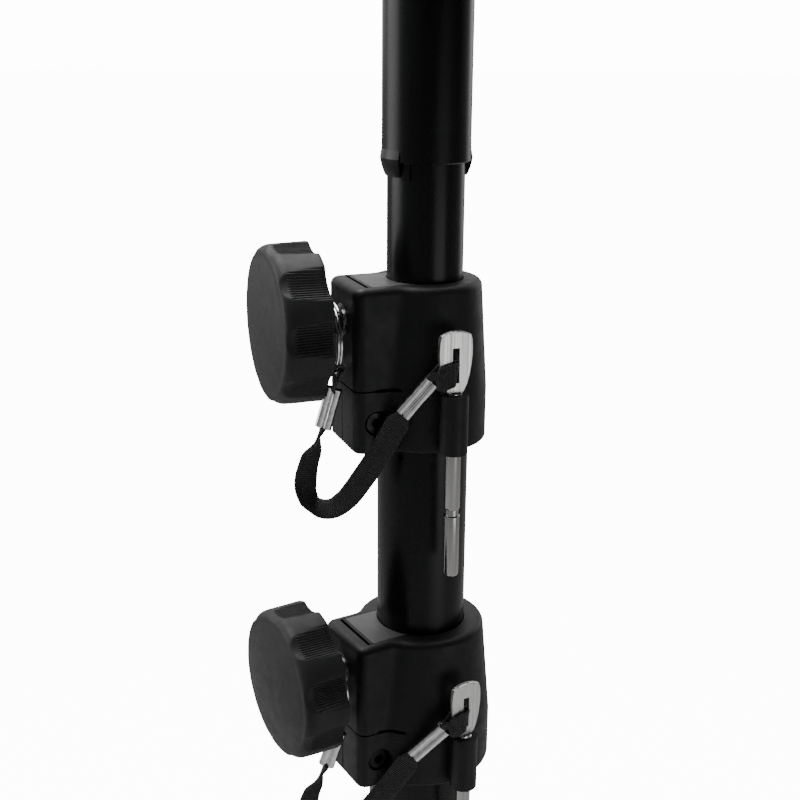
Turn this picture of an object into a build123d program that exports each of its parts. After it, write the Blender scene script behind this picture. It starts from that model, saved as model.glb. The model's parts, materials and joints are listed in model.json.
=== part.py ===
"""Speaker tripod stand: a mast of three telescoping tubes on three folding legs.

Millimetres. Z is the mast's axis, and the origin is on the floor below it.
Each clamp has a frame of its own: x runs out along its knob's axis, y runs towards
its lock pin, and z = 0 is the collar's top. Heights in it are negative, downward.
"""

import os
from math import cos, pi, radians, sin, tan

from build123d import *

os.makedirs("parts", exist_ok=True)

# --- fits -----------------------------------------------------------------------------
RUN = 0.06  # radial clearance of a sliding or turning fit
GAP = 0.3  # clearance between bodies that only pass each other

# --- mast -----------------------------------------------------------------------------
SLEEVE_RADIUS = 17.5  # the 35 mm pole that a loudspeaker's flange sits on
SLEEVE_LENGTH = 100.0
UPPER_RADIUS = 15.4
MIDDLE_RADIUS = 19.0
LOWER_RADIUS = 22.5
WALL = 1.8
LOWER_COLLAR_TOP = 1000.0
UPPER_COLLAR_TOP = 1151.0
SLEEVE_BOTTOM = 1197.0
SLEEVE_TOP = SLEEVE_BOTTOM + SLEEVE_LENGTH
COLLAR_HEIGHT = 66.6
KEEPER_BOTTOM = 64.6
SHOULDER = 38.5  # depth of the shoulder that a tube's end stops against
LOWER_TOP = LOWER_COLLAR_TOP - SHOULDER
MIDDLE_TOP = UPPER_COLLAR_TOP - SHOULDER
LOWER_BOTTOM = 84.0
MIDDLE_BOTTOM = 262.0
UPPER_BOTTOM = 362.0
GLIDE_LENGTH = 40.0
BUSH_LENGTH = 32.0
CROSS_HOLE = 3.4  # radius of the tube holes that the lock pins are made for
CROSS_HOLE_PITCH = 100.0
CROSS_HOLE_COUNT = 5
INDEX_HOLE = 1.2
INDEX_HEADING = 241.0
LUG_HEADINGS = (0.0, 180.0)  # where each of the sleeve's two lugs starts, anticlockwise
LUG_ARC = 53.0
POCKET_ARC = 13.0  # of the sunk tongue that follows each lug
SOCKET_DEPTH = 90.0  # of the loudspeaker's flange; the sleeve swells slightly below it

# --- clamps ---------------------------------------------------------------------------
UPPER_HEADING = 201.5  # from +X, anticlockwise, to the knob
LOWER_HEADING = 210.5
CROWN_HEADING = 210.0
UPPER_LOBE = 100.4  # where one lobe stands round the knob's axis, from the pin's side up
LOWER_LOBE = 115.0
UPPER_TOP_RADIUS = 23.0
UPPER_BASE_RADIUS = 26.0
LOWER_TOP_RADIUS = 27.4
LOWER_BASE_RADIUS = 31.3
BOSS_REACH = 20.1  # from the tube's surface to the boss's end face
BOSS_HALF = 17.0
END_WALL = 5.7
RELEASE = 1.3  # room behind the pressure plate when the clamp is tight
BLOCK_HALF = 12.6
BLOCK_DEPTH = 37.5
PLATE = 1.5
SPIGOT = 2.5
SCREW_RADIUS = 4.0
INSERT_RADIUS = 6.5
SEAM = 40.5  # depth of the slot between the clamp's boss and the ears
SEAM_WIDTH = 0.7
SEAM_END = 10.0  # length of the seam's wider far end
SPLIT_WIDTH = 0.6  # of the cut between the two ears
TAPER_DEPTH = 45.0  # a collar swells down to here, then runs straight
KNOB_DROP = 14.7
KNOB_RADIUS = 31.2
KNOB_BACK = 13.0  # from the boss's end face to the knob's back
KNOB_SIDE = 18.2
CREASE_RADIUS = 27.4  # of the edge between the knob's side and its face
NECK_RADIUS = 5.8
DOME = 2.9  # rise of the knob's face
LOBES = 9
FLUTE_RADIUS = 14.0
FLUTE_DEPTH = 3.4
FLUTE_LEAN = radians(11.7)
BOLT_INSET = 9.0
BOLT_DROP = 54.2
BOLT_RADIUS = 2.5
BOLT_HEAD = 5.0
HEAD_RADIUS = 4.25
NUT_RADIUS = 4.6
NUT_HEIGHT = 4.0

# --- lock pins and their lanyards -----------------------------------------------------
UPPER_PIN_OFFSET = 31.5  # from the mast's axis to the stored pin's axis
LOWER_PIN_OFFSET = 37.0
UPPER_PIN_CLEAR = 2.5  # from the stored pin's axis out to its ferrule
LOWER_PIN_CLEAR = 4.0
PIN_RADIUS = 3.1
PIN_TIP = 118.0
PIN_SHOULDER = -40.2  # the flattened head ends just above the keeper
KEEPER_RADIUS = 5.7
RING_RADIUS = 14.1
RING_WIRE = 1.8
RING_WIDTH = 2.6
RING_STAND_OFF = 5.5
STRAP_RADIUS = 1.9  # a round tube with the section area of 9.5 x 1.2 mm webbing
BARREL = 1.8  # radius of each of a ferrule's two barrels
BARREL_OFFSET = 1.65
# fraction of the way from the ring to the pin, and height, of each point of the strap
STRAP_ROUTE = [
    (-0.121, -56.8), (-0.204, -65.5), (-0.277, -75.0), (-0.299, -84.5), (-0.231, -90.8),
    (-0.077, -92.6), (0.084, -87.5), (0.220, -78.5), (0.347, -69.2), (0.477, -59.0),
    (0.594, -48.9),
]
RING_FERRULE_TOP = (-0.018, -40.2)
PIN_FERRULE_TOP = (0.843, -34.7)

# --- tripod ---------------------------------------------------------------------------
LEG_HEADINGS = (270.0, 30.0, 150.0)
LEG_RADIUS = 12.5
LEG_WALL = 1.5
LEG_ANGLE = radians(45)  # from the mast, with the stand open
LEG_LENGTH = 690.0  # from pivot to the centre of the foot's ball
BRACE_LENGTH = 280.0
PIVOT_OFFSET = 48.0  # every pivot's distance from the mast's axis
PIVOT_RADIUS = 3.0
FOOT_RADIUS = 17.0
FOOT_HEIGHT = 14.0
CROWN_PIVOT = FOOT_HEIGHT + LEG_LENGTH * cos(LEG_ANGLE)
HUB_PIVOT = CROWN_PIVOT - 2 * BRACE_LENGTH * cos(LEG_ANGLE)
CROWN_TOP = CROWN_PIVOT + 52.0
CROWN_HEIGHT = 72.0
CROWN_RADIUS = 34.0
HUB_RADIUS = 31.0
HUB_HEIGHT = 40.0
EYE_RADIUS = 11.5
EYE_HALF = 12.0
TUBE_START = 13.0
EAR_INNER = 12.3
EAR_THICKNESS = 5.0
EAR_RADIUS = 9.5
TONGUE_HALF = 12.5
BAR_INNER = 12.8
BAR_THICKNESS = 3.0
BAR_HALF = 9.0


def finish(builder, name):
    """Label a finished piece and write it to its own file."""
    builder.part.label = name
    export_step(builder.part, f"parts/{name}.step")


def heading_vector(heading):
    """The level direction at an angle from +X."""
    return Vector(cos(radians(heading)), sin(radians(heading)), 0)


def clamp_frame(heading, top):
    """A clamp's frame, on the mast's axis at the collar's top."""
    return Plane(origin=(0, 0, top), x_dir=heading_vector(heading), z_dir=(0, 0, 1))


def outward(frame, x, y, z):
    """The plane at a point of a frame that faces along the knob's axis."""
    return Plane(frame.from_local_coords((x, y, z)), x_dir=frame.y_dir, z_dir=frame.x_dir)


def sideways(frame, x, y, z):
    """The plane at a point of a frame that faces the lock pin's side, y upward."""
    return Plane(frame.from_local_coords((x, y, z)), x_dir=-frame.x_dir, z_dir=frame.y_dir)


def upright(heading, height=0):
    """The upright plane through the mast's axis at a heading: x outward, y upward."""
    out = heading_vector(heading)
    return Plane((0, 0, height), x_dir=out, z_dir=out.cross(Vector(0, 0, 1)))


# --- mast -----------------------------------------------------------------------------
def mast_tube(name, radius, bottom, top, hole_heading):
    """A tube of the mast, with cross holes for a lock pin, all inside the next tube."""
    with BuildPart() as tube:
        with BuildSketch(Plane.XY.offset(bottom)):
            Circle(radius)
            Circle(radius - WALL, mode=Mode.SUBTRACT)
        extrude(amount=top - bottom)
        first_hole = (0, 0, bottom + CROSS_HOLE_PITCH)
        with BuildSketch(Plane(first_hole, x_dir=(0, 0, 1), z_dir=heading_vector(hole_heading))):
            with Locations(*[(k * CROSS_HOLE_PITCH, 0) for k in range(CROSS_HOLE_COUNT)]):
                Circle(CROSS_HOLE)
        extrude(amount=2 * radius, both=True, mode=Mode.SUBTRACT)
        if radius == MIDDLE_RADIUS:
            index = (0, 0, UPPER_COLLAR_TOP - COLLAR_HEIGHT - 5.2)
            with BuildSketch(Plane(index, x_dir=(0, 0, 1), z_dir=heading_vector(INDEX_HEADING))):
                Circle(INDEX_HOLE)
            extrude(amount=2 * radius, mode=Mode.SUBTRACT)
    finish(tube, name)


def ring_wall(name, outer, inner, bottom, top):
    """A plain tube or bush round the mast's axis."""
    with BuildPart() as wall:
        with BuildSketch(Plane.XY.offset(bottom)):
            Circle(outer)
            Circle(inner, mode=Mode.SUBTRACT)
        extrude(amount=top - bottom)
        chamfer(wall.edges().filter_by(GeomType.CIRCLE), 0.4)
    finish(wall, name)


def glide(name, radius, bore, bottom):
    """The glide on a tube's lower end: a skirt round it and a liner inside it."""
    with BuildPart() as cup:
        with BuildSketch(Plane.XY.offset(bottom - 4)):
            Circle(bore - RUN)
        extrude(amount=4)
        with BuildSketch(Plane.XY.offset(bottom)):
            Circle(bore - RUN)
            Circle(radius, mode=Mode.SUBTRACT)
            Circle(radius - WALL)
        extrude(amount=GLIDE_LENGTH)
        with BuildSketch(Plane.XY.offset(bottom - 4)):
            Circle(radius - WALL - 2.5)
        extrude(amount=GLIDE_LENGTH + 4, mode=Mode.SUBTRACT)
        chamfer(cup.faces().sort_by(Axis.Z)[0].outer_wire().edges(), 1.2)
    finish(cup, name)


mast_tube("upper_tube", UPPER_RADIUS, UPPER_BOTTOM, SLEEVE_TOP - 2, UPPER_HEADING + 90)
mast_tube("middle_tube", MIDDLE_RADIUS, MIDDLE_BOTTOM, MIDDLE_TOP, LOWER_HEADING + 90)
ring_wall("lower_tube", LOWER_RADIUS, LOWER_RADIUS - WALL, LOWER_BOTTOM, LOWER_TOP)
glide("upper_glide", UPPER_RADIUS, MIDDLE_RADIUS - WALL, UPPER_BOTTOM)
glide("middle_glide", MIDDLE_RADIUS, LOWER_RADIUS - WALL, MIDDLE_BOTTOM)
for bush, outer, inner, top in (
    ("upper_guide_bush", MIDDLE_RADIUS - WALL, UPPER_RADIUS + RUN, MIDDLE_TOP),
    ("lower_guide_bush", LOWER_RADIUS - WALL, MIDDLE_RADIUS + RUN, LOWER_TOP),
):
    ring_wall(bush, outer, inner, top - BUSH_LENGTH, top)

with BuildPart() as lower_plug:
    with BuildSketch(Plane.XY.offset(LOWER_BOTTOM - 5)):
        Circle(LOWER_RADIUS)
    extrude(amount=5)
    with BuildSketch(Plane.XY.offset(LOWER_BOTTOM)):
        Circle(LOWER_RADIUS - WALL)
        Circle(LOWER_RADIUS - WALL - 3, mode=Mode.SUBTRACT)
    extrude(amount=25)
    fillet(lower_plug.faces().sort_by(Axis.Z)[0].edges(), 2)
finish(lower_plug, "lower_tube_plug")

with BuildPart() as sleeve:
    with BuildSketch(Plane.XZ):
        socket_end = SLEEVE_TOP + 1.8 - SOCKET_DEPTH
        with BuildLine():
            Polyline(
                (UPPER_RADIUS, SLEEVE_BOTTOM), (SLEEVE_RADIUS - 0.4, SLEEVE_BOTTOM),
                (SLEEVE_RADIUS + 0.12, SLEEVE_BOTTOM + 0.5), (SLEEVE_RADIUS, socket_end),
                (SLEEVE_RADIUS, SLEEVE_TOP), (UPPER_RADIUS, SLEEVE_TOP),
                (UPPER_RADIUS, SLEEVE_BOTTOM),
            )
        make_face()
    revolve(axis=Axis.Z)
    for heading in LUG_HEADINGS:
        # a lug swells just proud of the sleeve and tapers in below its rim
        with BuildSketch(upright(heading, SLEEVE_BOTTOM)):
            with BuildLine():
                foot = Line((UPPER_RADIUS + 0.05, -5.4), (UPPER_RADIUS + 0.7, -5.4))
                swell = ThreePointArc(foot @ 1, (SLEEVE_RADIUS, -1.9), (SLEEVE_RADIUS + 0.7, 1.5))
                Polyline(
                    swell @ 1, (SLEEVE_RADIUS - 0.3, 7.0), (UPPER_RADIUS + 0.05, 7.0), foot @ 0
                )
            make_face()
        revolve(axis=Axis.Z, revolution_arc=LUG_ARC)
        with BuildSketch(upright(heading + LUG_ARC - 1, SLEEVE_BOTTOM)):
            with Locations((UPPER_RADIUS + 0.4, -3.0)):
                Rectangle(0.7, 6.4)
        revolve(axis=Axis.Z, revolution_arc=POCKET_ARC + 1)
finish(sleeve, "adapter_sleeve")

with BuildPart() as sleeve_cap:
    with BuildSketch(Plane.XY.offset(SLEEVE_TOP)):
        Circle(SLEEVE_RADIUS)
    extrude(amount=3)
    with BuildSketch(Plane.XY.offset(SLEEVE_TOP - 2)):
        Circle(UPPER_RADIUS)
    extrude(amount=2)
    with BuildSketch(Plane.XY.offset(SLEEVE_TOP - 20)):
        Circle(UPPER_RADIUS - WALL)
        Circle(UPPER_RADIUS - WALL - 2.5, mode=Mode.SUBTRACT)
    extrude(amount=18)
    fillet(sleeve_cap.faces().sort_by(Axis.Z)[-1].edges(), 1.2)
finish(sleeve_cap, "sleeve_cap")


# --- the pieces that every clamp has --------------------------------------------------
def clamp_pieces(prefix, frame, bore, first_lobe):
    """Block, pressure plate, threaded insert, screw and knob of one clamp."""
    reach = bore + BOSS_REACH
    plate_out = reach - END_WALL - RELEASE
    plate_in = plate_out - PLATE
    block_in = 0.6 * bore
    knob_back = reach + KNOB_BACK
    knob_rim = knob_back + KNOB_SIDE
    screw_end = knob_rim - 4

    with BuildPart() as block:
        with BuildSketch(frame.offset(-BLOCK_DEPTH)):
            with Locations(((block_in + plate_in) / 2, 0)):
                Rectangle(plate_in - block_in, 2 * BLOCK_HALF)
            Circle(bore + GAP, mode=Mode.SUBTRACT)
        extrude(amount=BLOCK_DEPTH)
        with BuildSketch(outward(frame, plate_in, 0, -KNOB_DROP)):
            Circle(SPIGOT + 0.5)
        extrude(amount=-2.2, mode=Mode.SUBTRACT)
    finish(block, f"{prefix}_clamp_block")

    with BuildPart() as plate:
        with BuildSketch(frame.offset(-BLOCK_DEPTH)):
            with Locations((plate_in + PLATE / 2, 0)):
                Rectangle(PLATE, 2 * BLOCK_HALF)
        extrude(amount=BLOCK_DEPTH)
        with BuildSketch(outward(frame, plate_in, 0, -KNOB_DROP)):
            Circle(SPIGOT + RUN)
        extrude(amount=PLATE, mode=Mode.SUBTRACT)
    finish(plate, f"{prefix}_pressure_plate")

    with BuildPart() as insert:
        with BuildSketch(outward(frame, reach - END_WALL, 0, -KNOB_DROP)):
            Circle(INSERT_RADIUS)
            Circle(SCREW_RADIUS + RUN, mode=Mode.SUBTRACT)
        extrude(amount=END_WALL)
    finish(insert, f"{prefix}_clamp_insert")

    with BuildPart() as screw:
        with BuildSketch(outward(frame, plate_out + GAP, 0, -KNOB_DROP)):
            Circle(SCREW_RADIUS)
        extrude(amount=screw_end - plate_out - GAP)
        with BuildSketch(outward(frame, plate_in - 1.5, 0, -KNOB_DROP)):
            Circle(SPIGOT)
        extrude(amount=PLATE + 2)
    finish(screw, f"{prefix}_clamp_screw")

    dome_radius = (CREASE_RADIUS**2 + DOME**2) / (2 * DOME)
    axis_point = frame.from_local_coords((0, 0, -KNOB_DROP))
    lengthwise = Plane(axis_point, x_dir=frame.x_dir, z_dir=-frame.y_dir)
    with BuildPart() as knob:
        with BuildSketch(lengthwise):
            with BuildLine():
                back = Polyline(
                    (reach + 0.8, 0), (reach + 0.8, NECK_RADIUS), (knob_back, NECK_RADIUS),
                    (knob_back, KNOB_RADIUS - 0.8), (knob_back + 0.8, KNOB_RADIUS),
                    (knob_rim - 4.4, KNOB_RADIUS - 0.4),
                )
                rim = ThreePointArc(
                    back @ 1, (knob_rim - 1.1, KNOB_RADIUS - 1.6), (knob_rim, CREASE_RADIUS)
                )
                dome = RadiusArc(rim @ 1, (knob_rim + DOME, 0), dome_radius)
                Line(dome @ 1, back @ 0)
            make_face()
        revolve(axis=Axis(axis_point, frame.x_dir))
        with BuildSketch(outward(frame, reach, 0, -KNOB_DROP)):
            Circle(SCREW_RADIUS)
        extrude(amount=screw_end - reach, mode=Mode.SUBTRACT)
        for lobe in range(LOBES):
            # each flute is deepest at the back and runs out before the knob's face
            turn = radians(first_lobe) + 2 * pi * (lobe + 0.5) / LOBES
            radial = frame.y_dir * cos(turn) + frame.z_dir * sin(turn)
            lean = frame.x_dir * cos(FLUTE_LEAN) + radial * sin(FLUTE_LEAN)
            centre = axis_point + frame.x_dir * knob_back
            centre = centre + radial * (KNOB_RADIUS - FLUTE_DEPTH + FLUTE_RADIUS)
            with BuildSketch(Plane(centre - lean * 4, z_dir=lean)):
                Circle(FLUTE_RADIUS)
            extrude(amount=26, mode=Mode.SUBTRACT)
    finish(knob, f"{prefix}_clamp_knob")


def outline(plane, radius, reach):
    """A collar's plan: a round body with a square boss blended into it."""
    with BuildSketch(plane) as plan:
        Circle(radius)
        with Locations((reach / 2, 0)):
            Rectangle(reach, 2 * BOSS_HALF)
        fillet(plan.vertices().group_by(Axis.X)[0], 7)
        fillet(plan.vertices().group_by(Axis.X)[-1], 4.5)
    return plan.sketch


def cut_clamp(frame, reach):
    """Cut the pocket of the clamp block and the seat of the threaded insert."""
    depth = reach - END_WALL
    with BuildSketch(frame.offset(1)) as pocket:
        with Locations((depth / 2, 0)):
            Rectangle(depth, 2 * (BLOCK_HALF + GAP))
    extrude(pocket.sketch, amount=-(BLOCK_DEPTH + GAP + 1), mode=Mode.SUBTRACT)
    with BuildSketch(outward(frame, depth, 0, -KNOB_DROP)) as seat:
        Circle(INSERT_RADIUS)
    extrude(seat.sketch, amount=END_WALL, mode=Mode.SUBTRACT)


# --- mast collars ---------------------------------------------------------------------
def collar(prefix, frame, bore, seat, top_radius, base_radius, pin_offset):
    """The housing clamped round one tube's end, which holds the next tube's clamp."""
    reach = bore + BOSS_REACH
    bolt_x = reach - BOLT_INSET
    head_seat = BOSS_HALF - BOLT_HEAD
    with BuildPart() as housing:
        base = outline(frame.offset(-TAPER_DEPTH), base_radius, reach)
        loft([outline(frame, top_radius, reach), base])
        extrude(base, amount=-(COLLAR_HEIGHT - TAPER_DEPTH))
        fillet(housing.faces().sort_by(Axis.Z)[-1].outer_wire().edges(), 3)
        fillet(housing.faces().sort_by(Axis.Z)[0].outer_wire().edges(), 1.2)
        # keeper of the stored lock pin, on a short web
        with BuildSketch(frame.offset(-KEEPER_BOTTOM)):
            with Locations((0, pin_offset)):
                Circle(KEEPER_RADIUS)
            with Locations((0, pin_offset - 5)):
                Rectangle(7.5, 10)
        extrude(amount=KEEPER_BOTTOM - SEAM)
        with BuildSketch(frame.offset(1)):
            Circle(bore + GAP)
        extrude(amount=-(COLLAR_HEIGHT + 2), mode=Mode.SUBTRACT)
        with BuildSketch(frame.offset(-SHOULDER)):
            Circle(seat)
        extrude(amount=-COLLAR_HEIGHT, mode=Mode.SUBTRACT)
        cut_clamp(frame, reach)
        # slot above the two ears, and the split between them
        with BuildSketch(frame.offset(-SEAM)):
            with Locations((bore + 1.6 + reach / 2, 0)):
                Rectangle(reach, 4 * BOSS_HALF)
        extrude(amount=-SEAM_WIDTH, mode=Mode.SUBTRACT)
        with BuildSketch(frame.offset(-SEAM + 0.4)):
            with Locations((bore + 1.6 + SEAM_END / 2, 0)):
                Rectangle(SEAM_END, 4 * BOSS_HALF)
        extrude(amount=-2 * SEAM_WIDTH, mode=Mode.SUBTRACT)
        with BuildSketch(frame.offset(-SEAM)):
            with Locations(((seat + reach) / 2, 0)):
                Rectangle(reach - seat + 6, SPLIT_WIDTH)
        extrude(amount=-COLLAR_HEIGHT, mode=Mode.SUBTRACT)
        with BuildSketch(frame.offset(-SEAM + 1)):
            with Locations((0, pin_offset)):
                Circle(PIN_RADIUS + RUN)
        extrude(amount=-COLLAR_HEIGHT, mode=Mode.SUBTRACT)
        # clamp bolt through the ears: head on the pin's side, nut on the other
        with BuildSketch(sideways(frame, bolt_x, 0, -BOLT_DROP)):
            Circle(BOLT_RADIUS)
        extrude(amount=2 * BOSS_HALF, both=True, mode=Mode.SUBTRACT)
        with BuildSketch(sideways(frame, bolt_x, head_seat, -BOLT_DROP)):
            Circle(HEAD_RADIUS + 0.9)
        extrude(amount=2 * BOLT_HEAD, mode=Mode.SUBTRACT)
        with BuildSketch(sideways(frame, bolt_x, NUT_HEIGHT - BOSS_HALF, -BOLT_DROP)):
            RegularPolygon(NUT_RADIUS, 6)
        extrude(amount=-2 * NUT_HEIGHT, mode=Mode.SUBTRACT)
    finish(housing, f"{prefix}_collar")

    with BuildPart() as bolt:
        with BuildSketch(sideways(frame, bolt_x, head_seat, -BOLT_DROP)):
            Circle(HEAD_RADIUS)
        extrude(amount=BOLT_HEAD - 0.8)
        with BuildSketch(sideways(frame, bolt_x, BOSS_HALF - 0.8, -BOLT_DROP)):
            RegularPolygon(2.3, 6)
        extrude(amount=-2.6, mode=Mode.SUBTRACT)
        with BuildSketch(sideways(frame, bolt_x, head_seat, -BOLT_DROP)):
            Circle(BOLT_RADIUS)
        extrude(amount=-(2 * BOSS_HALF - BOLT_HEAD - 0.5))
    finish(bolt, f"{prefix}_collar_bolt")

    with BuildPart() as nut:
        with BuildSketch(sideways(frame, bolt_x, NUT_HEIGHT - BOSS_HALF, -BOLT_DROP)):
            RegularPolygon(NUT_RADIUS, 6)
            Circle(BOLT_RADIUS, mode=Mode.SUBTRACT)
        extrude(amount=-(NUT_HEIGHT - 0.2))
    finish(nut, f"{prefix}_collar_nut")


def lock_pin(prefix, frame, pin_offset):
    """The stored lock pin: a round shank with a groove, beaten flat and slotted on top."""
    face = sideways(frame, 0, pin_offset, 0)
    with BuildPart() as pin:
        with BuildSketch(face):
            with BuildLine():
                shank = Polyline(
                    (0, -39.5), (PIN_RADIUS, -39.5), (PIN_RADIUS, -88.0), (PIN_RADIUS - 0.5, -88.5),
                    (PIN_RADIUS - 0.5, -91.3), (PIN_RADIUS, -91.8), (PIN_RADIUS, PIN_RADIUS - PIN_TIP),
                )
                tip = RadiusArc(shank @ 1, (0, -PIN_TIP), PIN_RADIUS)
                Line(tip @ 1, shank @ 0)
            make_face()
        revolve(axis=Axis(face.origin, face.y_dir))
        with BuildSketch(face):
            with BuildLine():
                crown_arc = ThreePointArc((-6.6, -17.2), (0, -15.2), (6.6, -17.2))
                side = ThreePointArc(crown_arc @ 1, (7.1, -24.0), (5.8, -33.0))
                throat = Line(side @ 1, (3.6, PIN_SHOULDER))
                Line(throat @ 1, (-3.6, PIN_SHOULDER))
                Line((-3.6, PIN_SHOULDER), (-5.8, -33.0))
                ThreePointArc((-5.8, -33.0), (-7.1, -24.0), (-6.6, -17.2))
            make_face()
            with Locations((0, -28.7)):
                Rectangle(2.6, 13.8, mode=Mode.SUBTRACT)
        extrude(amount=1.1, both=True)
    finish(pin, f"{prefix}_lock_pin")


def lanyard(prefix, frame, reach, pin_offset, pin_clear):
    """Split ring on the knob's neck, webbing strap and the two crimped ferrules."""
    ring_x = reach + RING_STAND_OFF
    ring_z = -KNOB_DROP + NECK_RADIUS + GAP - RING_RADIUS + RING_WIRE / 2
    ring_centre = frame.from_local_coords((ring_x, 0, ring_z))
    with BuildPart() as ring:
        with BuildSketch(Plane(ring_centre, x_dir=frame.x_dir, z_dir=-frame.y_dir)):
            with Locations((0, RING_RADIUS)):
                RectangleRounded(RING_WIDTH, RING_WIRE, 0.8)
        revolve(axis=Axis(ring_centre, frame.x_dir))
    finish(ring, f"{prefix}_split_ring")

    # the strap hangs in the upright plane through its two ends
    ring_end = Vector(ring_x, 9, 0)
    pin_end = Vector(3, pin_offset + pin_clear, 0)

    def place(point):
        along, height = point
        level = ring_end + (pin_end - ring_end) * along
        return frame.from_local_coords((level.X, level.Y, height))

    # each arc is as large as the two runs beside it allow
    route = [place(point) for point in STRAP_ROUTE]
    runs = [(b - a).length for a, b in zip(route, route[1:])]
    turns = [
        radians((b - a).get_angle(c - b)) for a, b, c in zip(route, route[1:], route[2:])
    ]
    radii = [
        0.45 * min(before, after) / tan(turn / 2)
        for before, after, turn in zip(runs, runs[1:], turns)
    ]
    with BuildPart() as strap:
        with BuildLine() as path:
            FilletPolyline(*route, radius=radii, close=False)
        with BuildSketch(Plane(path.wire() @ 0, z_dir=path.wire() % 0)):
            Circle(STRAP_RADIUS)
        sweep(path=path.wire())
    expected = pi * STRAP_RADIUS**2 * path.wire().length
    print(prefix, "strap length", round(path.wire().length, 1))
    print(prefix, "strap radii", [round(radius, 1) for radius in radii])
    print(prefix, "strap volume", round(strap.part.volume), "expected", round(expected))
    finish(strap, f"{prefix}_strap")

    level = frame.from_local_coords(pin_end) - frame.from_local_coords(ring_end)
    for end, mouth, top in (
        ("ring", route[0], place(RING_FERRULE_TOP)),
        ("pin", route[-1], place(PIN_FERRULE_TOP)),
    ):
        # two barrels side by side in the strap's plane, a little clear of its end
        axis = (top - mouth).normalized()
        side = axis.cross(level).cross(axis)
        with BuildPart() as ferrule:
            with BuildSketch(Plane(mouth + axis * 2 * GAP, x_dir=side, z_dir=axis)):
                with Locations((-BARREL_OFFSET, 0), (BARREL_OFFSET, 0)):
                    Circle(BARREL)
            extrude(amount=(top - mouth).length - 2 * GAP)
        finish(ferrule, f"{prefix}_{end}_ferrule")


upper = clamp_frame(UPPER_HEADING, UPPER_COLLAR_TOP)
upper_radii = (UPPER_RADIUS, MIDDLE_RADIUS, UPPER_TOP_RADIUS, UPPER_BASE_RADIUS)
collar("upper", upper, *upper_radii, UPPER_PIN_OFFSET)
clamp_pieces("upper", upper, UPPER_RADIUS, UPPER_LOBE)
lock_pin("upper", upper, UPPER_PIN_OFFSET)
lanyard("upper", upper, UPPER_RADIUS + BOSS_REACH, UPPER_PIN_OFFSET, UPPER_PIN_CLEAR)

lower = clamp_frame(LOWER_HEADING, LOWER_COLLAR_TOP)
lower_radii = (MIDDLE_RADIUS, LOWER_RADIUS, LOWER_TOP_RADIUS, LOWER_BASE_RADIUS)
collar("lower", lower, *lower_radii, LOWER_PIN_OFFSET)
clamp_pieces("lower", lower, MIDDLE_RADIUS, LOWER_LOBE)
lock_pin("lower", lower, LOWER_PIN_OFFSET)
lanyard("lower", lower, MIDDLE_RADIUS + BOSS_REACH, LOWER_PIN_OFFSET, LOWER_PIN_CLEAR)

# --- crown: slides on the lower tube and carries the legs -----------------------------
crown_frame = clamp_frame(CROWN_HEADING, CROWN_TOP)
crown_reach = LOWER_RADIUS + BOSS_REACH
with BuildPart() as crown:
    boss_top = outline(crown_frame, CROWN_RADIUS - 3, crown_reach)
    loft([boss_top, outline(crown_frame.offset(-42), CROWN_RADIUS, crown_reach)])
    with BuildSketch(crown_frame.offset(-42)):
        Circle(CROWN_RADIUS)
    extrude(amount=-(CROWN_HEIGHT - 42))
    fillet(crown.faces().sort_by(Axis.Z)[-1].outer_wire().edges(), 3)
    for heading in LEG_HEADINGS:
        for start in (EAR_INNER, -EAR_INNER - EAR_THICKNESS):
            with BuildSketch(upright(heading).offset(start)):
                with Locations((PIVOT_OFFSET, CROWN_PIVOT)):
                    Circle(EAR_RADIUS)
                with Locations((PIVOT_OFFSET - 10.5, CROWN_PIVOT + 3)):
                    Rectangle(21, 2 * EAR_RADIUS + 6)
                with Locations((PIVOT_OFFSET, CROWN_PIVOT)):
                    Circle(PIVOT_RADIUS, mode=Mode.SUBTRACT)
            extrude(amount=EAR_THICKNESS)
    with BuildSketch(crown_frame.offset(1)):
        Circle(LOWER_RADIUS + GAP)
    extrude(amount=-(CROWN_HEIGHT + 2), mode=Mode.SUBTRACT)
    cut_clamp(crown_frame, crown_reach)
finish(crown, "crown_housing")
clamp_pieces("crown", crown_frame, LOWER_RADIUS, UPPER_LOBE)

# --- hub: fixed to the lower tube's foot, carries the braces --------------------------
with BuildPart() as hub:
    with BuildSketch(Plane.XY.offset(HUB_PIVOT - HUB_HEIGHT / 2)):
        Circle(HUB_RADIUS)
    extrude(amount=HUB_HEIGHT)
    fillet(hub.edges().filter_by(GeomType.CIRCLE), 2)
    for heading in LEG_HEADINGS:
        with BuildSketch(upright(heading)):
            with Locations((PIVOT_OFFSET, HUB_PIVOT)):
                Circle(EAR_RADIUS)
            with Locations((PIVOT_OFFSET - 11, HUB_PIVOT)):
                Rectangle(22, 2 * EAR_RADIUS)
            with Locations((PIVOT_OFFSET, HUB_PIVOT)):
                Circle(PIVOT_RADIUS, mode=Mode.SUBTRACT)
        extrude(amount=TONGUE_HALF, both=True)
    with BuildSketch(Plane.XY.offset(HUB_PIVOT - HUB_HEIGHT)):
        Circle(LOWER_RADIUS)
    extrude(amount=2 * HUB_HEIGHT, mode=Mode.SUBTRACT)
finish(hub, "brace_hub")


def pivot_bolts(name, height, grip):
    """One bolt and nut head pair through each of three pivots, at one height."""
    with BuildPart() as bolts:
        for heading in LEG_HEADINGS:
            plane = upright(heading)
            with BuildSketch(plane):
                with Locations((PIVOT_OFFSET, height)):
                    Circle(PIVOT_RADIUS)
            extrude(amount=grip + 2, both=True)
            with BuildSketch(plane.offset(grip)):
                with Locations((PIVOT_OFFSET, height)):
                    Circle(5.5)
            extrude(amount=3.2)
            with BuildSketch(plane.offset(-grip)):
                with Locations((PIVOT_OFFSET, height)):
                    RegularPolygon(5.8, 6)
            extrude(amount=-4)
    finish(bolts, name)


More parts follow.
